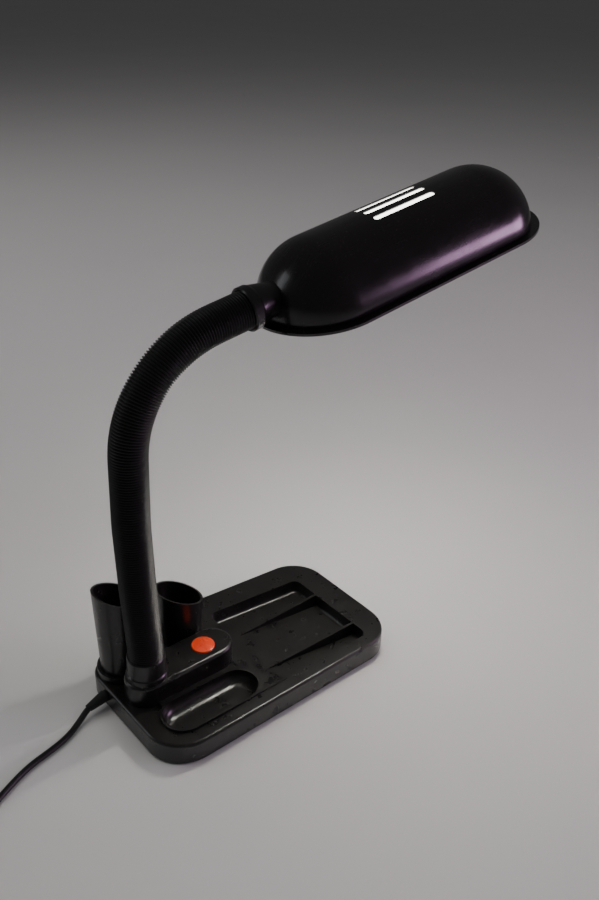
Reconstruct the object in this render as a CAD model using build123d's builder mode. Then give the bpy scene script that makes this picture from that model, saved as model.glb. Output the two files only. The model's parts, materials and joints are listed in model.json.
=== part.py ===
"""Gooseneck desk lamp on an organiser base: cups, pen trough, tray, push button and compact lamp.

Millimetres, +Z up.  The origin is on the table under the centre of the base, +X runs along the
base towards the tray, +Y towards the back.  The neck bends in one upright plane through its foot.
"""
from build123d import *
from math import atan2, cos, degrees, pi, radians, sin, tan
import os

# ---------------------------------------------------------------- driving dimensions
WALL = 2.2
FOOT_R, FOOT_H = 8.0, 2.0          # rubber feet
RIM_Z = 20.0                      # top of the base's outer wall
BURIED = 3.0                      # how far raised shapes start below the rim
BASE_CORNERS = (                  # outline of the base: corner point and its radius
    ((-119.5, -69.5), 32),
    ((116, -69.5), 32),
    ((116, 63.5), 32),
    ((-22, 75), 60),
    ((-119.5, 55), 21),
)
PLATE_T = 2.0                     # bottom plate
SCREW_HEAD_R, SCREW_HEAD_T = 3.0, 1.2

DECK_Z = 22.5                     # high end of the sloping front deck
DECK_FRONT_Y = -57.0
DECK_END_X = 30.0

TRAY_CORNERS = ((-3.5, -57.5), (90.5, -57.5), (90.5, 39.0), (-3.5, 48.4))
TRAY_FLOOR_Z = 7.7
TRAY_SKIN = 2.0
FIN_T = 2.2
FINS = (((11.0, 20.7), (91.5, 11.0)), ((4.6, -27.5), (91.5, -39.0)))

TROUGH_R = 16.5                   # pen trough, a long round-ended hollow
TROUGH_Y = -38.5
TROUGH_X = (-87.0, -35.0)
TROUGH_DEPTH = 12.0

HOUSING_R = 17.0                  # raised housing for the ballast, the switch and the neck's foot
HOUSING_X = (-96.8, -33.5)
HOUSING_Z = 40.0
BUTTON_X, BUTTON_Y, BUTTON_R = -42.4, -0.5, 9.7
BUTTON_TRAVEL = 2.5

CUP_FLOOR_Z = 14.0
CUP_FOOT_R = 17.5
CUP_WALL = 1.8
CUP_SLOPE = 0.40                  # the rims fall towards +X
CUP_RINGS = ((20.8, 6.0), (22.0, 3.0))   # radius and height of the ring round each cup's foot

CUPS = (                          # name, centre, height of the rim's centre, radius there
    ("pen_cup_left", (-96.5, 37.0), 95.0, 19.8),
    ("pen_cup_right", (-39.0, 38.5), 68.5, 20.2),
)

NECK_AZ = -2.6                    # direction of the neck's plane about Z
NECK_FOOT_X = -96.8
SLEEVE_R, SLEEVE_T = 14.0, 2.4
BEND_R = 86.0                     # the neck's upper bend
BEND_TURN = 77.0
BEND_LEAN = 2.0
NECK_KNOTS = ((1.5, 72.0), (-1.0, 122.0), (-2.5, 180.0), (-1.0, 236.0))   # (forward, up)
GAP = 3.0                         # half the gap between two lengths of sleeve
BALL_R, SOCKET_R, CUP_R = 6.0, 6.3, 9.5
CORE_R, CORE_NECK_R, BORE_R, LEAD_R = 7.0, 3.6, 2.4, 1.5

COLLAR_TOP = 60.0
STUD_R, HEAD_STUD_R = 8.0, 6.0
NUT_Z = 30.4

NUT_SEAT = -36.5                  # inside the shade, along from the centre of its rear end
BRACKET_T = 1.5
HOLDER_SCREWS = (-24.0, -14.0)
CAP_PIN_HALF = 11.5
HEAD_REACH = 93.1                 # from the neck's last pivot to the centre of the shade's rear end
HEAD_RISE = 90 - BEND_LEAN - BEND_TURN
SHADE_R, SHADE_WALL = 48.0, 2.0
SKIRT_H = 3.5                     # straight wall under the dome
SHADE_L = 155.0                   # between the centres of the shade's two round ends
LIP_R, LIP_Z, LIP_T = 54.5, 1.5, 2.0
AXIS_N = 20.5                     # height of the neck's end above the shade's lower edge
SLOT_X = (47.5, 106.5)
SLOT_W, SLOT_PITCH = 4.5, 10.7
TUBE_R, TUBE_PITCH, TUBE_N = 6.0, 14.0, 22.0

CORD_R = 2.5
CORD_ROUTE = (                    # centre line, from the outside of the wall to the coil
    (-119.5, 27.0, 10.5), (-134.0, 26.2, 8.9), (-146.5, 21.0, 3.6), (-160.0, 13.6, 2.6),
    (-176.5, 8.8, 2.6), (-198.0, 4.8, 2.6), (-219.0, -4.4, 2.6), (-238.0, -14.8, 2.6),
    (-256.0, -23.0, 2.6), (-269.7, -28.0, 2.6),
)
COIL_CENTRE, COIL_MID_R, COIL_HALF = (-281.0, -3.0), 27.5, 7.5
PLUG_Z = 7.4
PIN_HALF = 9.3
GRIP_SEAT_R, GRIP_LENGTH = 4.2, 17.0


# ---------------------------------------------------------------- helpers
def save(piece, name):
    """Label a finished piece and write it as its own STEP file."""
    piece.part.label = name
    export_step(piece.part, f"parts/{name}.step")


def forward(distance, height, side=0.0):
    """A point of the neck's plane: distance in front of the foot, height above the table."""
    a = radians(NECK_AZ)
    return Vector(NECK_FOOT_X + distance * cos(a) - side * sin(a), distance * sin(a) + side * cos(a), height)


def lean_plane(distance, height, lean):
    """A plane across the neck: its normal leans forward from the vertical, its X points to the side."""
    a, t = radians(NECK_AZ), radians(lean)
    side = Vector(-sin(a), cos(a), 0)
    along = Vector(sin(t) * cos(a), sin(t) * sin(a), cos(t))
    return Plane(origin=forward(distance, height), x_dir=side, z_dir=along)


def bend_point(turn):
    """(forward, up) of the bend after turning through an angle from its start."""
    s0, z0 = NECK_KNOTS[-1]
    a, b = radians(BEND_LEAN), radians(BEND_LEAN + turn)
    return s0 + BEND_R * (cos(a) - cos(b)), z0 + BEND_R * (sin(b) - sin(a))


def head_plane(along=0.0, across=0.0, up=0.0):
    """A plane square to the shade's length: X to the side, Y up, normal along the shade."""
    e, a = radians(HEAD_RISE), radians(NECK_AZ)
    s, z = bend_point(BEND_TURN)
    along += HEAD_REACH
    up -= AXIS_N
    origin = forward(s + along * cos(e) - up * sin(e), z + along * sin(e) + up * cos(e), across)
    side = Vector(-sin(a), cos(a), 0)
    return Plane(origin=origin, x_dir=side, z_dir=Vector(cos(e) * cos(a), cos(e) * sin(a), sin(e)))


def head_level(up):
    """A plane parallel to the shade's lower edge: X along the shade, normal up out of it."""
    e, a = radians(HEAD_RISE), radians(NECK_AZ)
    along = Vector(cos(e) * cos(a), cos(e) * sin(a), sin(e))
    normal = Vector(-sin(e) * cos(a), -sin(e) * sin(a), cos(e))
    return Plane(origin=head_plane(up=up).origin, x_dir=along, z_dir=normal)


def round_slot(x0, x1, y, radius):
    """A long round-ended shape between two centres, drawn in the sketch that is open."""
    with Locations(((x0 + x1) / 2, y)):
        SlotCenterToCenter(x1 - x0, 2 * radius)


def turned(plane, *profile):
    """A profile of (radius, height) points revolved about a plane's normal."""
    with BuildPart() as shape:
        with BuildSketch(Plane(origin=plane.origin, x_dir=plane.x_dir, z_dir=-plane.y_dir)):
            with BuildLine():
                Polyline(*profile, close=True)
            make_face()
        revolve(axis=Axis(plane.origin, plane.z_dir))
    return shape.part


def screws(places, head_z, shank_r, length):
    """Upright pan-headed screws: a head from head_z up and a shank that rises from it."""
    with BuildPart() as shape:
        with BuildSketch(Plane.XY.offset(head_z)):
            with Locations(*places):
                Circle(SCREW_HEAD_R)
        extrude(amount=SCREW_HEAD_T)
        fillet(shape.edges().group_by(Axis.Z)[0], 0.5)
        with BuildSketch(Plane.XY.offset(head_z + SCREW_HEAD_T)):
            with Locations(*places):
                Circle(shank_r)
        extrude(amount=length)
    return shape.part


os.makedirs("parts", exist_ok=True)

# ---------------------------------------------------------------- places of the base's fasteners and parts
SCREW_PLACES = ((-107, -50), (-15, 58), (100, -50), (101, 46), (-112, 14))
FOOT_PLACES = ((-84, -54), (84, -57), (86, 50), (-96, 40), (0, 0))
SLAB_X, SLAB_Y, SLAB_Z = (-112.0, -22.0), (21.0, 54.0), (4.2, 10.2)
SLAB_SCREWS = ((-67, 27), (-67, 48))
CHOKE_X = -67.5
CHOKE_SCREWS = ((CHOKE_X - 8, 0), (CHOKE_X + 8, 0))
CUP_CENTRES = [centre for name, centre, rim_z, rim_r in CUPS]
GRIP_PLANE = Plane(origin=CORD_ROUTE[0], z_dir=Vector(*CORD_ROUTE[1]) - Vector(*CORD_ROUTE[0]))

# ---------------------------------------------------------------- outlines
with BuildSketch() as base_outline:
    with BuildLine():
        Polyline(*[point for point, radius in BASE_CORNERS], close=True)
    make_face()
    for point, radius in BASE_CORNERS:
        fillet(base_outline.vertices().sort_by_distance(Vector(*point, 0))[0], radius)

with BuildSketch() as plate_outline:
    add(base_outline.sketch)
    offset(amount=-WALL - 0.3)

with BuildPart() as tray_space:
    with BuildSketch(Plane.XY.offset(TRAY_FLOOR_Z)):
        with BuildLine():
            Polyline(*TRAY_CORNERS, close=True)
        make_face()
    extrude(amount=RIM_Z + 6 - TRAY_FLOOR_Z)
    fillet(tray_space.edges().filter_by(Axis.Z), 7)
    fillet(tray_space.edges().group_by(Axis.Z)[0], 3)

with BuildPart() as trough_space:
    with BuildSketch(Plane.XY.offset(DECK_Z - TROUGH_DEPTH)):
        round_slot(*TROUGH_X, TROUGH_Y, TROUGH_R)
    extrude(amount=TROUGH_DEPTH + 6)
    fillet(trough_space.edges().group_by(Axis.Z)[0], 10)

DECK_R = DECK_FRONT_Y * -1 + TROUGH_Y          # round left end of the deck, about the trough's
with BuildPart() as deck:
    with BuildSketch(Plane.XY.offset(RIM_Z - BURIED)):
        round_slot(TROUGH_X[0], DECK_END_X - DECK_R, TROUGH_Y, DECK_R)
        with Locations(((HOUSING_X[0] + DECK_END_X) / 2, TROUGH_Y / 2)):
            Rectangle(DECK_END_X - HOUSING_X[0], -TROUGH_Y)
    extrude(amount=DECK_Z - RIM_Z + BURIED)
    fall = atan2(DECK_Z - RIM_Z, DECK_END_X - TROUGH_X[0])
    split(bisect_by=Plane((TROUGH_X[0], 0, DECK_Z), z_dir=(sin(fall), 0, cos(fall))), keep=Keep.BOTTOM)

# ---------------------------------------------------------------- base: moulded shell
with BuildPart() as base_shell:
    with BuildSketch(Plane.XY.offset(FOOT_H)):
        add(base_outline.sketch)
    extrude(amount=RIM_Z - FOOT_H)
    fillet(base_shell.edges().group_by(Axis.Z)[-1], 2.5)
    add(deck.part)
    # rings round the feet of the cups
    for centre, (ring_r, ring_h) in zip(CUP_CENTRES, CUP_RINGS):
        with BuildSketch(Plane.XY.offset(RIM_Z - BURIED)):
            with Locations(centre):
                Circle(ring_r)
        extrude(amount=ring_h + BURIED)
    # housing
    with BuildSketch(Plane.XY.offset(RIM_Z - BURIED)):
        round_slot(*HOUSING_X, 0, HOUSING_R)
    extrude(amount=HOUSING_Z - RIM_Z + BURIED)
    fillet(base_shell.edges().group_by(Axis.Z)[-1], 3)
    # hollow underneath, following the outside
    with BuildSketch(Plane.XY.offset(FOOT_H)):
        add(base_outline.sketch)
        offset(amount=-WALL)
    extrude(amount=RIM_Z - WALL - FOOT_H, mode=Mode.SUBTRACT)
    with BuildSketch(Plane.XY.offset(FOOT_H)):
        round_slot(*HOUSING_X, 0, HOUSING_R - WALL)
    extrude(amount=HOUSING_Z - WALL - 0.2 - FOOT_H, mode=Mode.SUBTRACT)
    # walls of the tray, the trough and the two cup seats, hanging from the top
    with BuildSketch(Plane.XY.offset(TRAY_FLOOR_Z - TRAY_SKIN)):
        with BuildLine():
            Polyline(*TRAY_CORNERS, close=True)
        make_face()
        offset(amount=TRAY_SKIN)
    extrude(amount=RIM_Z - 1 - TRAY_FLOOR_Z + TRAY_SKIN)
    with BuildSketch(Plane.XY.offset(DECK_Z - TROUGH_DEPTH - TRAY_SKIN)):
        round_slot(*TROUGH_X, TROUGH_Y, TROUGH_R + TRAY_SKIN)
    extrude(amount=RIM_Z - 1 - DECK_Z + TROUGH_DEPTH + TRAY_SKIN)
    with BuildSketch(Plane.XY.offset(CUP_FLOOR_Z - TRAY_SKIN)):
        with Locations(*CUP_CENTRES):
            Circle(CUP_FOOT_R + TRAY_SKIN)
    extrude(amount=RIM_Z - 1 - CUP_FLOOR_Z + TRAY_SKIN)
    add(tray_space.part, mode=Mode.SUBTRACT)
    add(trough_space.part, mode=Mode.SUBTRACT)
    with BuildSketch(Plane.XY.offset(CUP_FLOOR_Z)):
        with Locations(*CUP_CENTRES):
            Circle(CUP_FOOT_R + 0.6)
    extrude(amount=20, mode=Mode.SUBTRACT)
    # fins that split the tray into lanes and rise towards its right-hand wall
    for (x0, y0), (x1, y1) in FINS:
        run = Vector(x1 - x0, y1 - y0, 0)
        upright = Plane(origin=(x0, y0, TRAY_FLOOR_Z), x_dir=run, z_dir=run.cross(Vector(0, 0, 1)))
        with BuildSketch(upright):
            with BuildLine():
                Polyline((0, -1), (run.length, -1), (run.length, RIM_Z - TRAY_FLOOR_Z), (0, 0.4), close=True)
            make_face()
        extrude(amount=FIN_T / 2, both=True)
    # bosses for the screws of the bottom plate
    with BuildSketch(Plane.XY.offset(FOOT_H + PLATE_T + 0.2)):
        with Locations(*SCREW_PLACES):
            Circle(3.6)
    extrude(amount=RIM_Z - FOOT_H - PLATE_T - WALL + 0.5)
    with BuildSketch(Plane.XY.offset(FOOT_H)):
        with Locations(*SCREW_PLACES):
            Circle(1.6)
    extrude(amount=12.5, mode=Mode.SUBTRACT)
    # holes: the neck's stud, the button, the cup screws and the cord
    with BuildSketch(Plane.XY.offset(HOUSING_Z - 8)):
        with Locations(forward(NECK_KNOTS[0][0], 0)):
            Circle(STUD_R + 0.1)
        with Locations((BUTTON_X, BUTTON_Y)):
            Circle(BUTTON_R + 0.3)
    extrude(amount=10, mode=Mode.SUBTRACT)
    with BuildSketch(Plane.XY.offset(CUP_FLOOR_Z - 5)):
        with Locations(*CUP_CENTRES):
            Circle(1.7)
    extrude(amount=8, mode=Mode.SUBTRACT)
    with BuildSketch(GRIP_PLANE.offset(-3.5)):
        Circle(GRIP_SEAT_R)
    extrude(amount=6.5, mode=Mode.SUBTRACT)
save(base_shell, "base_shell")

# ---------------------------------------------------------------- base: plate, feet, weight and screws
with BuildPart() as bottom_plate:
    with BuildSketch(Plane.XY.offset(FOOT_H)):
        add(plate_outline.sketch)
        with Locations(*SCREW_PLACES):
            Circle(1.7, mode=Mode.SUBTRACT)
        with Locations(*SLAB_SCREWS, *CHOKE_SCREWS):
            Circle(1.7, mode=Mode.SUBTRACT)
    extrude(amount=PLATE_T)
save(bottom_plate, "bottom_plate")

with BuildPart() as rubber_feet:
    with BuildSketch():
        with Locations(*FOOT_PLACES):
            Circle(FOOT_R)
    extrude(amount=FOOT_H)
    chamfer(rubber_feet.edges().group_by(Axis.Z)[0], 0.5)
save(rubber_feet, "rubber_feet")

with BuildPart() as base_screws:
    add(screws(SCREW_PLACES, FOOT_H - SCREW_HEAD_T, 1.45, 12))
save(base_screws, "base_screws")

with BuildPart() as counterweight:
    with BuildSketch(Plane.XY.offset(SLAB_Z[0])):
        with Locations(((SLAB_X[0] + SLAB_X[1]) / 2, (SLAB_Y[0] + SLAB_Y[1]) / 2)):
            RectangleRounded(SLAB_X[1] - SLAB_X[0], SLAB_Y[1] - SLAB_Y[0], 12)
        with Locations(*SLAB_SCREWS):
            Circle(1.7, mode=Mode.SUBTRACT)
        with Locations(*CUP_CENTRES):
            Circle(3.6, mode=Mode.SUBTRACT)
    extrude(amount=SLAB_Z[1] - SLAB_Z[0])
save(counterweight, "counterweight")

with BuildPart() as counterweight_screws:
    add(screws(SLAB_SCREWS, FOOT_H - SCREW_HEAD_T, 1.5, SLAB_Z[1] - FOOT_H - 1))
save(counterweight_screws, "counterweight_screws")

with BuildPart() as cup_screws:
    add(screws(CUP_CENTRES, CUP_FLOOR_Z - TRAY_SKIN - SCREW_HEAD_T, 1.5, TRAY_SKIN + 2.6))
save(cup_screws, "cup_screws")

# ---------------------------------------------------------------- base: ballast, switch and terminals
with BuildPart() as ballast_choke:
    with BuildSketch(Plane.XY.offset(FOOT_H + PLATE_T + 0.05)):
        with Locations((CHOKE_X, 0)):
            Rectangle(27, 26)
    extrude(amount=31)
    fillet(ballast_choke.edges().filter_by(Axis.Z), 1.5)
    with BuildSketch(Plane.XY.offset(FOOT_H + PLATE_T + 9)):
        with Locations((CHOKE_X, 0)):
            Rectangle(20, 28.4)
    extrude(amount=14)
    with BuildSketch(Plane.XY.offset(FOOT_H)):
        with Locations(*CHOKE_SCREWS):
            Circle(1.55)
    extrude(amount=12, mode=Mode.SUBTRACT)
save(ballast_choke, "ballast_choke")

with BuildPart() as choke_screws:
    add(screws(CHOKE_SCREWS, FOOT_H - SCREW_HEAD_T, 1.5, 10))
save(choke_screws, "choke_screws")

with BuildPart() as terminal_block:
    with BuildSketch(Plane.XY.offset(FOOT_H + PLATE_T + 0.05)):
        with Locations((-34, 0)):
            Rectangle(20, 13)
    extrude(amount=8)
    fillet(terminal_block.edges().group_by(Axis.Z)[-1], 1)
    with BuildSketch(Plane.XY.offset(FOOT_H + PLATE_T + 4)):
        with GridLocations(8, 7, 2, 2):
            with Locations((-34, 0)):
                Circle(1.6)
    extrude(amount=6, mode=Mode.SUBTRACT)
save(terminal_block, "terminal_block")

with BuildPart() as switch_body:
    with BuildSketch(Plane.XY.offset(17)):
        with Locations((BUTTON_X, BUTTON_Y)):
            Rectangle(16, 27)
    extrude(amount=9.5)
    fillet(switch_body.edges().filter_by(Axis.Z), 1)
    with BuildSketch(Plane.XY.offset(21)):
        with Locations((BUTTON_X, BUTTON_Y)):
            Circle(3.3)
    extrude(amount=6, mode=Mode.SUBTRACT)
    with BuildSketch(Plane.XY.offset(26.5)):
        with Locations((BUTTON_X, BUTTON_Y - 12.3), (BUTTON_X, BUTTON_Y + 12.3)):
            Rectangle(8, 2)
    extrude(amount=HOUSING_Z - WALL - 0.2 - 26.5)
save(switch_body, "switch_body")

with BuildPart() as switch_button:
    add(turned(Plane((BUTTON_X, BUTTON_Y, 0)), (0, 24), (3, 24), (3, 33), (BUTTON_R, 33), (BUTTON_R, 41.2),
               (0, 42.4)))
    fillet(switch_button.edges().filter_by(GeomType.CIRCLE).group_by(Axis.Z)[-1], 0.8)
save(switch_button, "switch_button")

# ---------------------------------------------------------------- pen cups
for name, centre, rim_z, rim_r in CUPS:
    with BuildPart() as pen_cup:
        high = rim_z + 12 - CUP_FLOOR_Z
        top_r = CUP_FOOT_R + (rim_r - CUP_FOOT_R) * high / (rim_z - CUP_FLOOR_Z)
        add(turned(Plane((*centre, CUP_FLOOR_Z)), (1.55, 0), (CUP_FOOT_R, 0), (top_r, high),
                   (top_r - CUP_WALL, high), (CUP_FOOT_R - CUP_WALL, 3.6), (0, 3.6), (0, 2.8), (1.55, 2.8)))
        split(bisect_by=Plane((*centre, rim_z), z_dir=(CUP_SLOPE, 0, 1)), keep=Keep.BOTTOM)
    save(pen_cup, name)

# ---------------------------------------------------------------- mains cord
route = [Vector(*point) for point in CORD_ROUTE]
bends = []
for before, corner, after in zip(route, route[1:], route[2:]):
    turn = radians((corner - before).get_angle(after - corner))
    bends.append(0.45 * min((corner - before).length, (after - corner).length) / tan(turn / 2))
print("cord bend radii, mm:", [round(r, 1) for r in bends])

with BuildPart() as cord_coil:
    inner, outer = COIL_MID_R - COIL_HALF, COIL_MID_R + COIL_HALF
    top = 2 * COIL_HALF
    add(turned(Plane((*COIL_CENTRE, 0.05)), (inner, 0), (outer, 0), (outer, top), (inner, top)))
save(cord_coil, "cord_coil")

with BuildPart() as mains_cord:
    with BuildLine():
        cord_path = FilletPolyline(*CORD_ROUTE, radius=bends)
    with BuildSketch(Plane(origin=cord_path @ 0, z_dir=cord_path % 0)):
        Circle(CORD_R)
    sweep(path=cord_path)
print("cord tube, mm:", round(cord_path.length, 1))
print("cord volume over section times length:",
      round(mains_cord.part.volume / (pi * CORD_R**2 * cord_path.length), 4))
with BuildPart(mode=Mode.PRIVATE) as cord_outside_coil:
    add(mains_cord.part)
    add(cord_coil.part, mode=Mode.SUBTRACT)
save(cord_outside_coil, "mains_cord")

grip_tip = GRIP_LENGTH / cord_path.length
with BuildPart() as cord_grip:
    with BuildSketch(GRIP_PLANE.offset(-3)):
        Circle(GRIP_SEAT_R)
    extrude(amount=4.5)
    with BuildSketch(GRIP_PLANE.offset(1)):
        Circle(GRIP_SEAT_R + 0.8)
    with BuildSketch(Plane(origin=cord_path @ grip_tip, z_dir=cord_path % grip_tip)):
        Circle(CORD_R + 0.8)
    loft()
    add(mains_cord.part, mode=Mode.SUBTRACT)
save(cord_grip, "cord_grip")

PLUG_START = Plane(origin=(COIL_CENTRE[0] - COIL_MID_R - COIL_HALF + CORD_R, COIL_CENTRE[1] + 10, PLUG_Z),
                   x_dir=(1, 0, 0), z_dir=(0, 1, 0))
with BuildPart() as mains_plug:
    with BuildSketch(PLUG_START):
        Circle(CORD_R + 0.5)
    with BuildSketch(PLUG_START.offset(24)):
        Circle(CORD_R + 2.6)
    loft()
    with BuildSketch(PLUG_START.offset(23)):
        RectangleRounded(17, 13, 3)
    with BuildSketch(PLUG_START.offset(46)):
        RectangleRounded(26, 14.4, 5)
    with BuildSketch(PLUG_START.offset(58)):
        RectangleRounded(26, 14.4, 5)
    loft(ruled=True)
    with BuildSketch(PLUG_START.offset(50)):
        with Locations((-PIN_HALF, 0), (PIN_HALF, 0)):
            Circle(2)
    extrude(amount=10, mode=Mode.SUBTRACT)
    add(cord_coil.part, mode=Mode.SUBTRACT)
save(mains_plug, "mains_plug")

with BuildPart() as plug_pins:
    with BuildSketch(PLUG_START.offset(50)):
        with Locations((-PIN_HALF, 0), (PIN_HALF, 0)):
            Circle(2)
    extrude(amount=27)
    fillet(plug_pins.edges().group_by(Axis.Y)[-1], 1.2)
save(plug_pins, "plug_pins")

# ---------------------------------------------------------------- neck: collar, nut and washer at the foot
neck_foot = lean_plane(NECK_KNOTS[0][0], 0, 0)
with BuildPart() as lower_collar:
    add(turned(neck_foot, (STUD_R + 0.1, HOUSING_Z), (16.4, HOUSING_Z), (16.4, HOUSING_Z + 4),
               (15.6, HOUSING_Z + 5), (15.2, COLLAR_TOP - 1), (14.6, COLLAR_TOP),
               (SLEEVE_R + 0.1, COLLAR_TOP), (SLEEVE_R + 0.1, HOUSING_Z + 6), (STUD_R + 0.1, HOUSING_Z + 6)))
save(lower_collar, "lower_collar")

with BuildPart() as neck_washer:
    add(turned(neck_foot, (STUD_R + 0.1, NUT_Z + 6), (12.5, NUT_Z + 6), (12.5, NUT_Z + 7.2),
               (STUD_R + 0.1, NUT_Z + 7.2)))
save(neck_washer, "neck_washer")

with BuildPart() as neck_nut:
    with BuildSketch(Plane(origin=neck_foot.origin + Vector(0, 0, NUT_Z))):
        RegularPolygon(11, 6, major_radius=False)
        Circle(STUD_R, mode=Mode.SUBTRACT)
    extrude(amount=6)
save(neck_nut, "neck_nut")

# ---------------------------------------------------------------- neck: lengths of core, sleeve and lead
LAST = 6


def pivot(index):
    """(forward, up) of the neck's pivots 1 to 6."""
    if index <= 4:
        return NECK_KNOTS[index - 1]
    return bend_point(BEND_TURN * (index - 4) / 2)


def place(index, distance):
    """(forward, up, lean) at a distance past pivot `index`, along the length of neck that starts there."""
    if index in (4, 5):
        turn = BEND_TURN * (index - 4) / 2 + degrees(distance / BEND_R)
        return *bend_point(turn), BEND_LEAN + turn
    if index == 0:
        return NECK_KNOTS[0][0], distance, 0.0
    if index == LAST:
        lean = BEND_LEAN + BEND_TURN
    else:
        (s0, z0), (s1, z1) = pivot(index), pivot(index + 1)
        lean = degrees(atan2(s1 - s0, z1 - z0))
    s, z = pivot(index)
    return s + distance * sin(radians(lean)), z + distance * cos(radians(lean)), lean


def reach(index):
    """Distance along the neck from pivot `index` to the next one; the first length starts on the table."""
    if index in (4, 5):
        return BEND_R * radians(BEND_TURN / 2)
    if index == 0:
        return pivot(1)[1]
    (s0, z0), (s1, z1) = pivot(index), pivot(index + 1)
    return ((s1 - s0) ** 2 + (z1 - z0) ** 2) ** 0.5


def run_along(index, start, end, outer, inner=0.0):
    """A rod or a tube swept along one length of the neck."""
    ends = [place(index, d) for d in (start, (start + end) / 2, end)]
    points = [forward(s, z) for s, z, lean in ends]
    with BuildPart() as shape:
        with BuildLine() as path:
            if index in (4, 5):
                ThreePointArc(*points)
            else:
                Line(points[0], points[2])
        with BuildSketch(lean_plane(*ends[0])):
            Circle(outer)
            if inner:
                Circle(inner, mode=Mode.SUBTRACT)
        sweep(path=path.line)
    return shape.part


STUD_END = HEAD_REACH - 30        # of the last length, inside the shade
STUD_START = 36.0
for index in range(LAST + 1):
    low, high = 46.0, reach(index) if index < LAST else STUD_START
    with BuildPart() as neck_core:
        if index:
            start = lean_plane(*place(index, 0))
            add(turned(start, (0, -3), (CUP_R, -3), (CUP_R, 7), (CORE_R, 9), (0, 9)))
            low = 8.9
        else:
            add(turned(neck_foot, (0, 26), (STUD_R, 26), (STUD_R, 46), (0, 46)))
        add(run_along(index, low, high - (11 if index < LAST else 0), CORE_R))
        if index < LAST:
            end = lean_plane(*place(index, high))
            add(turned(end, (0, -11.2), (CORE_NECK_R, -11.2), (CORE_NECK_R, -4), (0, -4)))
            with Locations(end):
                Sphere(BALL_R)
        else:
            add(run_along(index, STUD_START, STUD_END, HEAD_STUD_R))
        if index:
            with Locations(start):
                Sphere(SOCKET_R, mode=Mode.SUBTRACT)
        bore_end = high if index < LAST else STUD_END
        add(run_along(index, 0 if index else 20, bore_end, BORE_R), mode=Mode.SUBTRACT)
        if index < LAST:
            with BuildSketch(end.offset(-2)):
                Circle(BORE_R)
            extrude(amount=12, mode=Mode.SUBTRACT)
    save(neck_core, f"neck_core_{index}")

    with BuildPart() as neck_sleeve:
        add(run_along(index, GAP if index else HOUSING_Z + 6.2, high - (GAP if index < LAST else 0.2),
                      SLEEVE_R, SLEEVE_R - SLEEVE_T))
    save(neck_sleeve, f"neck_sleeve_{index}")

    with BuildPart() as neck_lead:
        add(run_along(index, 7.5 if index else 20, high if index < LAST else STUD_END, LEAD_R))
    save(neck_lead, f"neck_lead_{index}")

# ---------------------------------------------------------------- head: collar and nut
neck_end = lean_plane(*place(LAST, 0))
with BuildPart() as upper_collar:
    add(turned(neck_end, (HEAD_STUD_R + 0.1, STUD_START), (SLEEVE_R + 0.1, STUD_START), (SLEEVE_R + 0.1, 27),
               (15.4, 26.4), (16.3, 27.4), (16.3, 33), (15.4, 35), (10.5, 56), (HEAD_STUD_R + 0.1, 56)))
    with Locations(head_plane(up=SKIRT_H)):
        Sphere(SHADE_R, mode=Mode.SUBTRACT)
save(upper_collar, "upper_collar")

with BuildPart() as head_nut:
    with BuildSketch(head_plane(along=NUT_SEAT + BRACKET_T, up=AXIS_N)):
        RegularPolygon(8.5, 6, major_radius=False)
        Circle(HEAD_STUD_R, mode=Mode.SUBTRACT)
    extrude(amount=4.4)
save(head_nut, "head_nut")

# ---------------------------------------------------------------- head: shade
SHADE_SCREWS = (22.0, 134.0)
with BuildPart() as shade_slots:
    with BuildSketch(head_level(30)):
        with Locations(((SLOT_X[0] + SLOT_X[1]) / 2, 0)):
            with GridLocations(0, SLOT_PITCH, 1, 3):
                SlotOverall(SLOT_X[1] - SLOT_X[0], SLOT_W)
    extrude(amount=30)


def half_capsule(radius, start=0.0, rear_end=True):
    """A domed bar on a straight skirt, with a round front end, and a round rear end if asked."""
    with BuildPart() as shape:
        with BuildSketch(head_plane(along=start, up=SKIRT_H)):
            Circle(radius)
            with Locations((0, -SKIRT_H / 2)):
                Rectangle(2 * radius, SKIRT_H)
        extrude(amount=SHADE_L - start)
        for end in (0, SHADE_L) if rear_end else (SHADE_L,):
            with Locations(head_plane(along=end, up=SKIRT_H)):
                Sphere(radius)
            with BuildSketch(head_level(0)):
                with Locations((end, 0)):
                    Circle(radius)
            extrude(amount=SKIRT_H)
        split(bisect_by=head_level(0), keep=Keep.TOP)
    return shape.part


with BuildPart() as stud_boss:
    with BuildSketch(head_plane(along=NUT_SEAT, up=AXIS_N)):
        Circle(12)
    extrude(amount=-15)
    with Locations(head_plane(up=SKIRT_H)):
        Sphere(SHADE_R, mode=Mode.INTERSECT)

with BuildPart() as lamp_shade:
    add(half_capsule(SHADE_R))
    with BuildSketch(head_level(LIP_Z)):
        with Locations((SHADE_L / 2, 0)):
            SlotCenterToCenter(SHADE_L, 2 * LIP_R)
    extrude(amount=LIP_T)
    add(half_capsule(SHADE_R - SHADE_WALL), mode=Mode.SUBTRACT)
    # thickening round the neck's stud
    add(stud_boss.part)
    with BuildSketch(head_plane(along=NUT_SEAT + 1, up=AXIS_N)):
        Circle(HEAD_STUD_R + 0.1)
    extrude(amount=-20, mode=Mode.SUBTRACT)
    add(shade_slots.part, mode=Mode.SUBTRACT)
    with BuildSketch(head_level(SKIRT_H + SHADE_R - 5)):
        with Locations(*[(x, 0) for x in SHADE_SCREWS]):
            Circle(1.35)
    extrude(amount=4.4, mode=Mode.SUBTRACT)
save(lamp_shade, "lamp_shade")

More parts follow.
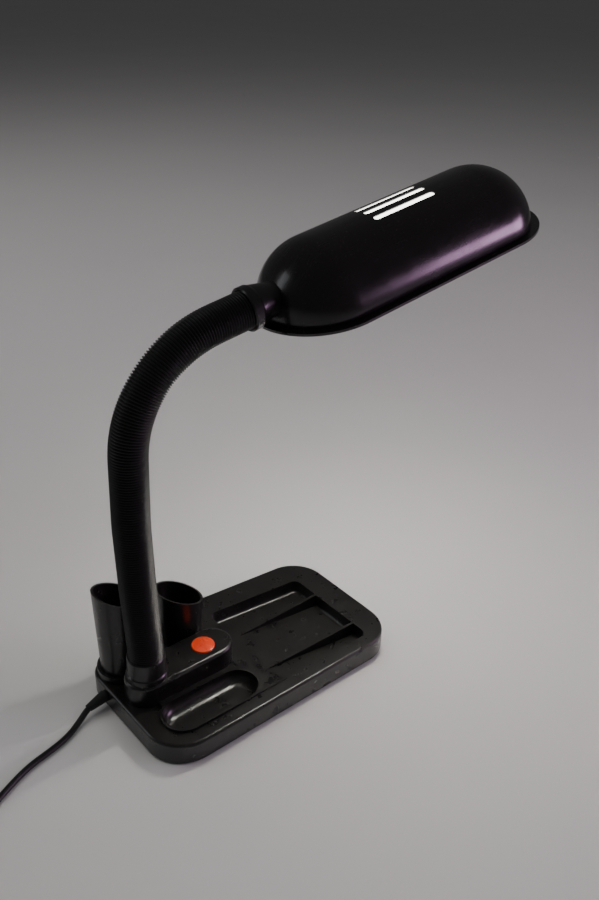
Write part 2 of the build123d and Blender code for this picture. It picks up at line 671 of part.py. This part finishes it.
# ---------------------------------------------------------------- head: reflector and its fixings
REFLECTOR_R, REFLECTOR_T = 45.4, 0.9
CEILING = SKIRT_H + REFLECTOR_R - REFLECTOR_T     # inside height of the reflector
with BuildPart() as reflector:
    add(half_capsule(REFLECTOR_R, start=-2, rear_end=False))
    add(half_capsule(REFLECTOR_R - REFLECTOR_T, start=-2 + REFLECTOR_T, rear_end=False), mode=Mode.SUBTRACT)
    with BuildSketch(head_plane(along=-4, up=TUBE_N)):
        Rectangle(36, 24)
    extrude(amount=6, mode=Mode.SUBTRACT)
    split(bisect_by=head_level(2), keep=Keep.TOP)
    add(shade_slots.part, mode=Mode.SUBTRACT)
    with BuildSketch(head_level(40)):
        with Locations(*[(x, 0) for x in SHADE_SCREWS]):
            Circle(1.5)
    extrude(amount=12, mode=Mode.SUBTRACT)
save(reflector, "reflector")

with BuildPart() as reflector_screws:
    with BuildSketch(head_level(CEILING - 1.3)):
        with Locations(*[(x, 0) for x in SHADE_SCREWS]):
            Circle(2.6)
    extrude(amount=1.2)
    with BuildSketch(head_level(CEILING - 0.1)):
        with Locations(*[(x, 0) for x in SHADE_SCREWS]):
            Circle(1.3)
    extrude(amount=2.8)
save(reflector_screws, "reflector_screws")

# ---------------------------------------------------------------- head: lamp holder on its bracket
LEG_N = 8.0                       # underside of the bracket's leg
HOLDER_X = (-29.0, -9.0)
with BuildPart() as holder_bracket:
    with BuildSketch(head_plane(along=NUT_SEAT)):
        with Locations((0, (LEG_N + 29) / 2)):
            Rectangle(18, 29 - LEG_N)
        with Locations((0, AXIS_N)):
            Circle(HEAD_STUD_R + 0.1, mode=Mode.SUBTRACT)
    extrude(amount=BRACKET_T)
    with BuildSketch(head_level(LEG_N)):
        with Locations(((NUT_SEAT + HOLDER_X[1]) / 2 - 0.5, 0)):
            Rectangle(HOLDER_X[1] - NUT_SEAT - 1, 18)
        with Locations(*[(x, 0) for x in HOLDER_SCREWS]):
            Circle(1.4, mode=Mode.SUBTRACT)
    extrude(amount=BRACKET_T)
save(holder_bracket, "holder_bracket")

with BuildPart() as holder_screws:
    with BuildSketch(head_level(LEG_N - 1.2)):
        with Locations(*[(x, 0) for x in HOLDER_SCREWS]):
            Circle(2.6)
    extrude(amount=1.2)
    with BuildSketch(head_level(LEG_N)):
        with Locations(*[(x, 0) for x in HOLDER_SCREWS]):
            Circle(1.3)
    extrude(amount=6)
save(holder_screws, "holder_screws")

with BuildPart() as lamp_holder:
    with BuildSketch(head_plane(along=HOLDER_X[0])):
        with Locations((0, (LEG_N + BRACKET_T + 33) / 2)):
            RectangleRounded(35, 33 - LEG_N - BRACKET_T, 3)
    extrude(amount=HOLDER_X[1] - HOLDER_X[0])
    with BuildSketch(head_plane(along=HOLDER_X[1] + 1)):
        with Locations((-CAP_PIN_HALF, TUBE_N), (CAP_PIN_HALF, TUBE_N)):
            Circle(1.3)
    extrude(amount=-10, mode=Mode.SUBTRACT)
    with BuildSketch(head_level(LEG_N)):
        with Locations(*[(x, 0) for x in HOLDER_SCREWS]):
            Circle(1.35)
    extrude(amount=8, mode=Mode.SUBTRACT)
save(lamp_holder, "lamp_holder")

# ---------------------------------------------------------------- head: compact fluorescent lamp
TUBE_X = (10.0, 190.0)
with BuildPart() as lamp_cap:
    with BuildSketch(head_plane(along=HOLDER_X[1])):
        with Locations((0, TUBE_N)):
            RectangleRounded(33, 19, 4)
    extrude(amount=23)
    with BuildSketch(head_plane(along=TUBE_X[0])):
        with Locations((-TUBE_PITCH / 2, TUBE_N), (TUBE_PITCH / 2, TUBE_N)):
            Circle(TUBE_R)
    extrude(amount=6, mode=Mode.SUBTRACT)
save(lamp_cap, "lamp_cap")

with BuildPart() as lamp_pins:
    with BuildSketch(head_plane(along=HOLDER_X[1])):
        with Locations((-CAP_PIN_HALF, TUBE_N), (CAP_PIN_HALF, TUBE_N)):
            Circle(1.2)
    extrude(amount=-7)
save(lamp_pins, "lamp_pins")

with BuildPart() as lamp_tube:
    with BuildSketch(head_plane(along=TUBE_X[0])):
        with Locations((-TUBE_PITCH / 2, TUBE_N), (TUBE_PITCH / 2, TUBE_N)):
            Circle(TUBE_R)
    extrude(amount=TUBE_X[1] - TUBE_X[0])
    along_shade = Axis(head_plane().origin, head_plane().z_dir)
    fillet(lamp_tube.edges().filter_by(GeomType.CIRCLE).sort_by(along_shade)[-2:], 4)
    bridge = head_plane(along=TUBE_X[1] - 9, across=-TUBE_PITCH / 2, up=TUBE_N)
    with BuildSketch(Plane(origin=bridge.origin, z_dir=bridge.x_dir)):
        Circle(3)
    extrude(amount=TUBE_PITCH)
save(lamp_tube, "lamp_tube")

CLIP_X = 154.0
with BuildPart() as tube_clip:
    with BuildSketch(head_plane(along=CLIP_X - 4)):
        with Locations((0, TUBE_N + 7.7)):
            Rectangle(30, 1)
        with Locations((-14.5, TUBE_N + 1.7), (14.5, TUBE_N + 1.7)):
            Rectangle(1, 13)
    extrude(amount=8)
    with BuildSketch(head_level(TUBE_N + 8)):
        with Locations((CLIP_X, 0)):
            Circle(2.5)
    extrude(amount=CEILING - TUBE_N - 8.1)
save(tube_clip, "tube_clip")
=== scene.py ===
import json
from math import atan2, cos, pi, radians, sin

import bmesh
import bpy
from mathutils import Matrix, Vector


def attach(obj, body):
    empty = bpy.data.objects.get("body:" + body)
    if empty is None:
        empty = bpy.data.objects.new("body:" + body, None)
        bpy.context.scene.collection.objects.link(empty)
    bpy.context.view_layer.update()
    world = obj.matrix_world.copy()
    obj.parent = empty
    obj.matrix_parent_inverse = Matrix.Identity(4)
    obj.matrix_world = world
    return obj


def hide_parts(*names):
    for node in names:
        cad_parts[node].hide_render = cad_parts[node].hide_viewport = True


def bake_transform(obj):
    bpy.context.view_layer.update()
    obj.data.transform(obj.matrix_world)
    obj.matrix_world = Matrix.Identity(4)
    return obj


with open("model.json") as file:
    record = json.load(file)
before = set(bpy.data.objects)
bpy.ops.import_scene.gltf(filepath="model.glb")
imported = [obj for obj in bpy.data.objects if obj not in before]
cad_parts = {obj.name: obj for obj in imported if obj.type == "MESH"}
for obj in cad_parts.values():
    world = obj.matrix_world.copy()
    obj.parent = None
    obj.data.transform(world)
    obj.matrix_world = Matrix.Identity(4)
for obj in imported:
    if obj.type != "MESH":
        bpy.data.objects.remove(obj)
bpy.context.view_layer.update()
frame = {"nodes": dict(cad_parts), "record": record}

MM = 0.001
nodes = frame["nodes"]


def link(made):
    """Put a new object in the scene."""
    bpy.context.scene.collection.objects.link(made)
    return made


def stitch(shape, rings):
    """Faces between each ring of vertices and the next."""
    for low, high in zip(rings, rings[1:]):
        for j in range(len(low)):
            shape.faces.new((low[j], high[j], high[j - 1], low[j - 1]))


def finished(name, shape, material, smooth=False):
    """Turn a built shape into a linked object with one material."""
    bmesh.ops.recalc_face_normals(shape, faces=shape.faces)
    mesh = bpy.data.meshes.new(name)
    shape.to_mesh(mesh)
    shape.free()
    if smooth:
        mesh.shade_smooth()
    mesh.materials.append(material)
    return link(bpy.data.objects.new(name, mesh))


# ---------------------------------------------------------------- camera
CAMERA_AT = (-0.36135, -0.4829, 0.55)
CAMERA_PITCH, CAMERA_ROLL, CAMERA_YAW = 29.43, 1.736, 40.85      # degrees
FRAME_HEIGHT, FOCAL = 36, 36.58                                  # millimetres
NEAREST = 0.01


def make_camera():
    """The view is from in front of the lamp's left-hand end, looking down at it."""
    pitch, roll, yaw = radians(CAMERA_PITCH), radians(CAMERA_ROLL), radians(CAMERA_YAW)
    turn = Matrix(((cos(yaw), -sin(yaw), 0), (sin(yaw), cos(yaw), 0), (0, 0, 1)))
    tip = Matrix(((1, 0, 0), (0, -sin(pitch), -cos(pitch)), (0, cos(pitch), -sin(pitch))))
    bank = Matrix(((cos(roll), -sin(roll), 0), (sin(roll), cos(roll), 0), (0, 0, 1)))
    right, down, ahead = bank @ tip @ turn
    data = bpy.data.cameras.new("camera")
    data.sensor_fit = "VERTICAL"
    data.sensor_height = FRAME_HEIGHT
    data.lens = FOCAL
    data.clip_start = NEAREST
    camera = link(bpy.data.objects.new("camera", data))
    camera.matrix_world = Matrix((right, -down, -ahead)).transposed().to_4x4()
    camera.location = CAMERA_AT
    bpy.context.scene.camera = camera


make_camera()

# ---------------------------------------------------------------- mains cord
CORD_D = 0.005
CORD_ROUTE = (                    # millimetres, from the wall of the base to the coil
    (-119.5, 27.0, 10.5), (-134.0, 26.2, 8.9), (-146.5, 21.0, 3.6), (-160.0, 13.6, 2.6),
    (-176.5, 8.8, 2.6), (-198.0, 4.8, 2.6), (-219.0, -4.4, 2.6), (-238.0, -14.8, 2.6),
    (-256.0, -23.0, 2.6),
)
COIL_CENTRE = (-281.0, -3.0)
COIL_TURNS = (                    # radius and height of each turn, millimetres
    (27.5, 2.6), (32.5, 2.6), (32.5, 7.6), (27.5, 7.6),
    (22.5, 7.6), (22.5, 12.6), (27.5, 12.6), (32.5, 12.6),
)
COIL_START = -65.7                # degrees, where the cord joins the ring; it winds clockwise
COIL_LAST = 114.3                 # degrees of the last turn
COIL_STEPS = 16                   # points in each turn
COIL_PASS = 45                    # degrees in which one turn moves to the next
COIL_PASS_START = 315             # where the first turn starts to, measured from the start of the coil
CORD_SMOOTHNESS = 8               # steps of the curve between its points
CORD_ROUNDNESS = 5                # steps round its section
CORD_TAIL = ((-313.5, 3.0, 12.5), (-313.5, 9.0, 10.6), (-313.5, 14.0, 8.6), (-313.5, 20.0, 7.5))


def coil_points():
    """Points along the coil's turns.  Each turn moves to the next a little earlier than the last did."""
    points = []
    total = (len(COIL_TURNS) - 1) * 360 + COIL_LAST
    count = round(total / 360 * COIL_STEPS)
    for i in range(count + 1):
        angle = total * i / count
        turn = min(int(angle // 360), len(COIL_TURNS) - 1)
        radius, height = COIL_TURNS[turn]
        if turn < len(COIL_TURNS) - 1:
            passed = angle % 360 - (COIL_PASS_START - COIL_PASS * turn)
            share = min(max(passed / COIL_PASS, 0), 1)
            share = share * share * (3 - 2 * share)
            radius += (COIL_TURNS[turn + 1][0] - radius) * share
            height += (COIL_TURNS[turn + 1][1] - height) * share
        at = radians(COIL_START - angle)
        points.append((COIL_CENTRE[0] + radius * cos(at), COIL_CENTRE[1] + radius * sin(at), height))
    return points


def spline_length(curve):
    """Length of a curve's smooth line, in metres."""
    mesh = bpy.data.meshes.new_from_object(curve)
    spots = [vertex.co for vertex in mesh.vertices]
    length = sum((spots[edge.vertices[0]] - spots[edge.vertices[1]]).length for edge in mesh.edges)
    bpy.data.meshes.remove(mesh)
    return length


def make_cord():
    """One smooth tube from the wall of the base, round the coil and into the plug."""
    route = [*CORD_ROUTE, *coil_points(), *CORD_TAIL]
    data = bpy.data.curves.new("cord", "CURVE")
    data.dimensions = "3D"
    spline = data.splines.new("NURBS")
    spline.points.add(len(route) - 1)
    for point, place in zip(spline.points, route):
        point.co = (*(Vector(place) * MM), 1)
        point.radius = CORD_D / 2
    spline.order_u = 3
    spline.use_endpoint_u = True
    spline.resolution_u = CORD_SMOOTHNESS
    cord = link(bpy.data.objects.new("cord", data))
    length = spline_length(cord)
    data.bevel_depth = 1.0        # times each point's radius
    data.bevel_resolution = CORD_ROUNDNESS
    data.use_fill_caps = True
    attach(cord, "base")
    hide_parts("mains_cord", "cord_coil")
    return cord


cord = make_cord()


# ---------------------------------------------------------------- materials
class Recipe:
    """A procedural material: a principled shader with short calls for the textures that drive it."""

    def __init__(self, name, colour, roughness, **sockets):
        self.material = bpy.data.materials.new(name)
        self.material.use_nodes = True
        self.tree = self.material.node_tree
        self.shader = self.tree.nodes["Principled BSDF"]
        self.shader.inputs["Base Color"].default_value = (*colour, 1)
        self.shader.inputs["Roughness"].default_value = roughness
        for socket, value in sockets.items():
            self.shader.inputs[socket.replace("_", " ")].default_value = value
        self.where = self.tree.nodes.new("ShaderNodeTexCoord").outputs["Object"]
        self.normal = None

    def node(self, kind, **settings):
        """A new shader node, with its sockets and options set by name."""
        made = self.tree.nodes.new("ShaderNode" + kind)
        for key, value in settings.items():
            if key in made.inputs:
                made.inputs[key].default_value = value
            else:
                setattr(made, key, value)
        return made

    def noise(self, scale, detail=4, stretch=(1, 1, 1)):
        """Grey noise, stretched along the axes."""
        mapping = self.node("Mapping")
        mapping.inputs["Scale"].default_value = stretch
        self.tree.links.new(self.where, mapping.inputs["Vector"])
        texture = self.node("TexNoise", Scale=scale, Detail=detail, Roughness=0.6)
        self.tree.links.new(mapping.outputs["Vector"], texture.inputs["Vector"])
        return texture.outputs["Fac"]

    def ramp(self, source, low, high, start, end):
        """Map a grey value from low..high to start..end."""
        made = self.node("MapRange")
        made.inputs["From Min"].default_value = low
        made.inputs["From Max"].default_value = high
        made.inputs["To Min"].default_value = start
        made.inputs["To Max"].default_value = end
        self.tree.links.new(source, made.inputs["Value"])
        return made.outputs["Result"]

    def times(self, a, b):
        """Product of two grey values."""
        made = self.node("Math", operation="MULTIPLY")
        self.tree.links.new(a, made.inputs[0])
        self.tree.links.new(b, made.inputs[1])
        return made.outputs["Value"]

    def upward(self):
        """1 on surfaces that face up, where dust settles."""
        facing = self.node("NewGeometry").outputs["Normal"]
        split = self.node("SeparateXYZ")
        self.tree.links.new(facing, split.inputs["Vector"])
        return self.ramp(split.outputs["Z"], 0.35, 0.95, 0, 1)

    def tint(self, factor, colour):
        """Mix a colour over the base colour by a grey value."""
        socket = self.shader.inputs["Base Color"]
        mix = self.node("Mix", data_type="RGBA")
        if socket.links:
            self.tree.links.new(socket.links[0].from_socket, mix.inputs[6])
        else:
            mix.inputs[6].default_value = socket.default_value
        mix.inputs[7].default_value = (*colour, 1)
        self.tree.links.new(factor, mix.inputs["Factor"])
        self.tree.links.new(mix.outputs[2], socket)
        return self

    def rough(self, source, low, high, start, end):
        """Drive the roughness by a grey value."""
        self.tree.links.new(self.ramp(source, low, high, start, end), self.shader.inputs["Roughness"])
        return self

    def bump(self, source, height, strength=1.0):
        """Raise the surface by a grey value, on top of any bumps made before."""
        made = self.node("Bump", Distance=height, Strength=strength)
        self.tree.links.new(source, made.inputs["Height"])
        if self.normal:
            self.tree.links.new(self.normal, made.inputs["Normal"])
        self.normal = made.outputs["Normal"]
        self.tree.links.new(self.normal, self.shader.inputs["Normal"])
        return self


def moulded_black():
    """Satin ABS of the base: fine grain, scuffs, pale dust on top and scattered pale specks."""
    it = Recipe("moulded_black", (0.008, 0.0077, 0.0075), 0.3, Coat_Weight=0.2)
    it.rough(it.noise(110, 3), 0.3, 0.7, 0.26, 0.34)
    it.tint(it.times(it.upward(), it.ramp(it.noise(50, 8), 0.35, 0.85, 0.0, 0.16)), (0.06, 0.052, 0.045))
    it.tint(it.ramp(it.noise(900, 2), 0.70, 0.78, 0.0, 0.30), (0.16, 0.15, 0.13))
    it.bump(it.noise(1400, 3), 0.00004, 0.5)
    it.bump(it.noise(120, 3, (1, 9, 1)), 0.00003, 0.35)
    return it.material


def polished_black():
    """Glossy shade: deep black with a brown-violet cast, hairline scuffs and a little dust."""
    it = Recipe("polished_black", (0.006, 0.0045, 0.005), 0.22, Coat_Weight=0.35, Coat_Roughness=0.14)
    it.rough(it.noise(24, 7, (1, 5, 1)), 0.3, 0.7, 0.16, 0.34)
    it.tint(it.times(it.upward(), it.ramp(it.noise(700, 2), 0.66, 0.75, 0.0, 0.35)), (0.13, 0.12, 0.11))
    it.bump(it.noise(220, 4, (1, 7, 1)), 0.00002, 0.3)
    return it.material


def ribbed_black():
    """PVC sleeve: satin ribs with chalky dust in the grooves."""
    it = Recipe("ribbed_black", (0.013, 0.013, 0.013), 0.38)
    it.rough(it.noise(90, 5), 0.3, 0.7, 0.30, 0.50)
    it.tint(it.ramp(it.noise(260, 4), 0.55, 0.8, 0.0, 0.22), (0.07, 0.065, 0.055))
    it.bump(it.noise(900, 3), 0.00004, 0.5)
    return it.material


def plain(name, colour, roughness, grain=800, depth=0.00003, spread=0.08, **sockets):
    """A moulded or cast surface with a fine grain and slightly uneven gloss."""
    it = Recipe(name, colour, roughness, **sockets)
    it.rough(it.noise(70, 5), 0.3, 0.7, roughness - spread, roughness + spread)
    it.tint(it.ramp(it.noise(45, 6), 0.45, 0.8, 0.0, 0.25), [min(1, c * 1.5 + 0.01) for c in colour])
    it.bump(it.noise(grain, 3), depth, 0.5)
    return it.material


def steel(name, colour, roughness):
    """Zinc-plated steel: streaky roughness and fine scratches."""
    it = Recipe(name, colour, roughness, Metallic=1.0)
    it.rough(it.noise(160, 6, (1, 1, 8)), 0.3, 0.7, roughness - 0.08, roughness + 0.14)
    it.tint(it.ramp(it.noise(80, 5), 0.5, 0.8, 0.0, 0.4), [c * 0.7 for c in colour])
    it.bump(it.noise(500, 4, (1, 1, 10)), 0.00002, 0.4)
    return it.material


TUBE_GLOW = (42.0, 50.0)
# painted glow of the strips in the shade's slots: emission standing in for the lamp's light seen through
# them
SLOT_PAINTED_GLOW = (5.0, 6.5)


def glowing_tube():
    """Phosphor-coated lamp glass, lit: its brightness varies a little at random."""
    it = Recipe("glowing_tube", (0.95, 0.95, 0.92), 0.25, Coat_Weight=0.6)
    it.shader.inputs["Emission Color"].default_value = (1.0, 0.97, 0.90, 1)
    glow = it.ramp(it.noise(30, 3), 0.2, 0.8, *TUBE_GLOW)
    it.tree.links.new(glow, it.shader.inputs["Emission Strength"])
    return it.material


def painted_slot_glow():
    """Milky strip in a slot of the shade with a painted glow: it emits light itself, standing in for the
    lamp's light shining through the slot.
    """
    it = Recipe("painted_slot_glow", (0.92, 0.92, 0.9), 0.35)
    it.shader.inputs["Emission Color"].default_value = (1.0, 0.98, 0.92, 1)
    glow = it.ramp(it.noise(60, 3), 0.2, 0.8, *SLOT_PAINTED_GLOW)
    it.tree.links.new(glow, it.shader.inputs["Emission Strength"])
    return it.material


MATERIALS = {
    "black_plastic": moulded_black(),
    "shade_plastic": polished_black(),
    "sleeve": ribbed_black(),
    "steel": steel("zinc_steel", (0.56, 0.56, 0.57), 0.32),
    "ballast": steel("laminations", (0.25, 0.25, 0.26), 0.45),
    "iron": plain("cast_iron", (0.06, 0.058, 0.055), 0.6, 300, 0.0002, Metallic=0.6),
    "plate": plain("plate_plastic", (0.02, 0.02, 0.02), 0.55, 500, 0.0001),
    "rubber": plain("rubber", (0.018, 0.018, 0.018), 0.7, 900, 0.00005),
    "cord": plain("cord_pvc", (0.010, 0.010, 0.011), 0.42, 700, 0.00003),
    "button": plain("red_button", (0.78, 0.055, 0.012), 0.28, 900, 0.00001, Coat_Weight=0.5,
                    Subsurface_Weight=0.05),
    "reflector": plain("white_enamel", (0.82, 0.82, 0.79), 0.3, 400, 0.00002, Coat_Weight=0.3),
    "lamp": glowing_tube(),
    "white_plastic": plain("white_plastic", (0.72, 0.70, 0.63), 0.45, 700, 0.00003),
    "brass": steel("brass", (0.78, 0.58, 0.25), 0.25),
    "lead": plain("lead_insulation", (0.25, 0.08, 0.04), 0.5),
}
SLOT_OF = {part["node"]: part["material_slot"] for part in frame["record"]["subparts"]}
for name, piece in nodes.items():
    piece.data.materials.clear()
    piece.data.materials.append(MATERIALS[SLOT_OF[name]])
cord.data.materials.append(MATERIALS["cord"])

# ---------------------------------------------------------------- neck
NECK_AZ = radians(-2.6)
NECK_FOOT_X = -96.8
KNOTS = ((1.5, 72.0), (-1.0, 122.0), (-2.5, 180.0), (-1.0, 236.0))   # pivots: (forward, up)
SLEEVE_START = (1.5, 46.2)
BEND_R, BEND_TURN, BEND_LEAN = 86.0, 77.0, 2.0
SLEEVE_END = 35.0                 # straight sleeve beyond the last pivot
SLEEVE_R, GROOVE = 14.0, 1.5
RIB_PITCH = 2.05
AROUND = 64                       # points round the sleeve
LINE_STEP = 0.5                   # millimetres between points of the centre line
RINGS_PER_STEP = 4
ROUNDING = 16                     # points either side that the centre line is averaged over
BEND_POINTS = 3                   # degrees between corners in the upper bend
LOOK = 3                          # points either side that give the line's direction


def in_plane(distance, height, side=0.0):
    """A point of the neck's plane in metres: distance in front of the foot, height above the table."""
    x = NECK_FOOT_X + distance * cos(NECK_AZ) - side * sin(NECK_AZ)
    return Vector((x, distance * sin(NECK_AZ) + side * cos(NECK_AZ), height)) * MM


def bend_point(turn):
    """(forward, up) of the upper bend after turning through an angle from its start."""
    a, b = radians(BEND_LEAN), radians(BEND_LEAN + turn)
    return KNOTS[-1][0] + BEND_R * (cos(a) - cos(b)), KNOTS[-1][1] + BEND_R * (sin(b) - sin(a))


PIVOTS = [*KNOTS, bend_point(BEND_TURN / 2), bend_point(BEND_TURN)]


def centre_line():
    """Evenly spaced (forward, up) points of the sleeve's smooth centre line."""
    rise = radians(90 - BEND_LEAN - BEND_TURN)
    bend = [bend_point(angle) for angle in range(2, int(BEND_TURN), BEND_POINTS)]
    corners = [SLEEVE_START, *KNOTS, *bend, PIVOTS[-1]]
    corners.append((PIVOTS[-1][0] + SLEEVE_END * cos(rise), PIVOTS[-1][1] + SLEEVE_END * sin(rise)))
    points = []
    carry = 0.0
    for (s0, z0), (s1, z1) in zip(corners, corners[1:]):
        length = ((s1 - s0) ** 2 + (z1 - z0) ** 2) ** 0.5
        at = carry
        while at < length:
            points.append((s0 + (s1 - s0) * at / length, z0 + (z1 - z0) * at / length))
            at += LINE_STEP
        carry = at - length
    smooth = []
    for i in range(len(points)):
        k = min(ROUNDING, i, len(points) - 1 - i)
        near = points[i - k:i + k + 1]
        smooth.append((sum(p[0] for p in near) / len(near), sum(p[1] for p in near) / len(near)))
    return smooth


LINE = centre_line()


def nearest(point):
    """Index of the centre line's point nearest to a pivot."""
    def gap(i):
        return (LINE[i][0] - point[0]) ** 2 + (LINE[i][1] - point[1]) ** 2

    return min(range(len(LINE)), key=gap)


def rib_radius(travel):
    """Outer radius along the sleeve: round-topped ribs with narrow grooves."""
    phase = (travel / RIB_PITCH) % 1.0
    return SLEEVE_R - GROOVE * abs(cos(pi * phase)) ** 2


def make_sleeve(name, first, last):
    """The ribbed sleeve between two points of the centre line."""
    shape = bmesh.new()
    rings = []
    for i in range(first * RINGS_PER_STEP, last * RINGS_PER_STEP + 1):
        k, part = divmod(i, RINGS_PER_STEP)
        here, there = LINE[k], LINE[min(k + 1, len(LINE) - 1)]
        s, z = (here[j] + (there[j] - here[j]) * part / RINGS_PER_STEP for j in (0, 1))
        back, ahead = LINE[max(k - LOOK, 0)], LINE[min(k + LOOK + 1, len(LINE) - 1)]
        along = atan2(ahead[1] - back[1], ahead[0] - back[0])
        radius = rib_radius(i / RINGS_PER_STEP * LINE_STEP)
        ring = []
        for j in range(AROUND):
            turn = 2 * pi * j / AROUND
            out = radius * cos(turn)
            place = in_plane(s - out * sin(along), z + out * cos(along), radius * sin(turn))
            ring.append(shape.verts.new(place))
        rings.append(ring)
    stitch(shape, rings)
    piece = finished(name, shape, MATERIALS["sleeve"], smooth=True)
    return piece


def make_neck():
    """One length of sleeve across each pivot, cut half way between pivots where nothing bends."""
    marks = [nearest(pivot) for pivot in PIVOTS]
    cuts = [0, *[(a + b) // 2 for a, b in zip(marks, marks[1:])], len(LINE) - 1]
    for k, mark in enumerate(marks):
        piece = make_sleeve(f"sleeve_{k + 1}", cuts[k], cuts[k + 1])
        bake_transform(piece)
        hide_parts(*(["neck_sleeve_0", "neck_sleeve_1"] if k == 0 else [f"neck_sleeve_{k + 1}"]))


make_neck()


# ---------------------------------------------------------------- strips with a painted glow in the shade's slots
HEAD_REACH, HEAD_DROP = 93.1, 20.5            # from the last pivot to the middle of the shade's rear end
SLOT_ENDS, SLOT_PITCH = (47.5, 106.5), 10.7
LENS_R = (46.4, 47.3)                         # inner and outer radius of a strip about the dome's axis
SKIRT_H = 3.5                                 # height of the dome's axis above the shade's lower edge
LENS_HALF = 2.2                               # half its width
LENS_END_STEPS, LENS_STEPS, LENS_ACROSS = 8, 12, 7


def in_head(along, across, up):
    """A point of the head in metres, from the middle of the shade's rear end."""
    rise = radians(90 - BEND_LEAN - BEND_TURN)
    along, up = along + HEAD_REACH, up - HEAD_DROP
    s, z = PIVOTS[-1]
    distance = s + along * cos(rise) - up * sin(rise)
    return in_plane(distance, z + along * sin(rise) + up * cos(rise), across)


def make_glow_strips():
    """Round-ended milky strips with a painted glow, one in each slot."""
    start, end = SLOT_ENDS
    turns = [i / LENS_END_STEPS * pi / 2 for i in range(1, LENS_END_STEPS + 1)]
    stations = [(start + LENS_HALF * (1 - cos(t)), LENS_HALF * sin(t)) for t in turns]
    stations += [(start + (end - start) * i / LENS_STEPS, LENS_HALF) for i in range(1, LENS_STEPS)]
    stations += [(end - LENS_HALF * (1 - cos(t)), LENS_HALF * sin(t)) for t in reversed(turns)]
    shape = bmesh.new()
    for across in (-SLOT_PITCH, 0, SLOT_PITCH):
        rings = []
        for along, half in stations:
            sides = [across + half * (2 * j / (LENS_ACROSS - 1) - 1) for j in range(LENS_ACROSS)]
            outer = [(v, SKIRT_H + (LENS_R[1] ** 2 - v * v) ** 0.5) for v in sides]
            inner = [(v, SKIRT_H + (LENS_R[0] ** 2 - v * v) ** 0.5) for v in reversed(sides)]
            rings.append([shape.verts.new(in_head(along, v, n)) for v, n in outer + inner])
        stitch(shape, rings)
        shape.faces.new(rings[0])
        shape.faces.new(reversed(rings[-1]))
    piece = finished("slot_glow_strips", shape, painted_slot_glow())
    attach(piece, "head")


make_glow_strips()


# ---------------------------------------------------------------- floor and light
FLOOR_HALF = 16.0


def make_floor():
    """A plain pale floor."""
    mesh = bpy.data.meshes.new("floor")
    corners = [(-FLOOR_HALF, -FLOOR_HALF), (FLOOR_HALF, -FLOOR_HALF), (FLOOR_HALF, FLOOR_HALF),
               (-FLOOR_HALF, FLOOR_HALF)]
    mesh.from_pydata([(x, y, 0) for x, y in corners], [], [(0, 1, 2, 3)])
    floor = link(bpy.data.objects.new("floor", mesh))
    it = Recipe("floor", (0.62, 0.61, 0.60), 0.8)
    it.tint(it.ramp(it.noise(3, 3), 0.4, 0.7, 0.0, 0.25), (0.55, 0.55, 0.56))
    mesh.materials.append(it.material)


def area_light(name, place, target, size, power, colour, mirrored=True):
    """A soft rectangular light; if not mirrored, glossy surfaces do not show it."""
    data = bpy.data.lights.new(name, "AREA")
    data.shape = "RECTANGLE"
    data.size, data.size_y = size
    data.energy = power
    data.color = colour
    light = link(bpy.data.objects.new(name, data))
    light.location = place
    light.visible_glossy = mirrored
    light.visible_camera = False
    light.rotation_euler = (Vector(target) - Vector(place)).to_track_quat("-Z", "Y").to_euler()


make_floor()
area_light("overhead", (-0.3, 0.9, 2.0), (0.1, 0.2, 0), (2.0, 2.0), 20, (1.0, 0.98, 0.96),
           mirrored=False)
area_light("front", (0.9, -1.5, 1.6), (0, 0, 0.2), (1.2, 1.0), 9, (0.94, 0.97, 1.0),
           mirrored=False)
area_light("window", (-1.5, 1.1, 0.9), (0, 0, 0.15), (0.5, 1.3), 3.2, (0.92, 0.95, 1.0))
area_light("lilac", (1.15, -0.9, 0.42), (0.18, -0.05, 0.36), (0.7, 0.28), 6.5, (0.86, 0.50, 0.84))
WORLD_GREY, WORLD_STRENGTH = (0.58, 0.57, 0.58, 1), 0.12
world = bpy.data.worlds.new("world")
bpy.context.scene.world = world
world.use_nodes = True
world.node_tree.nodes["Background"].inputs["Color"].default_value = WORLD_GREY
world.node_tree.nodes["Background"].inputs["Strength"].default_value = WORLD_STRENGTH

bpy.context.view_layer.update()
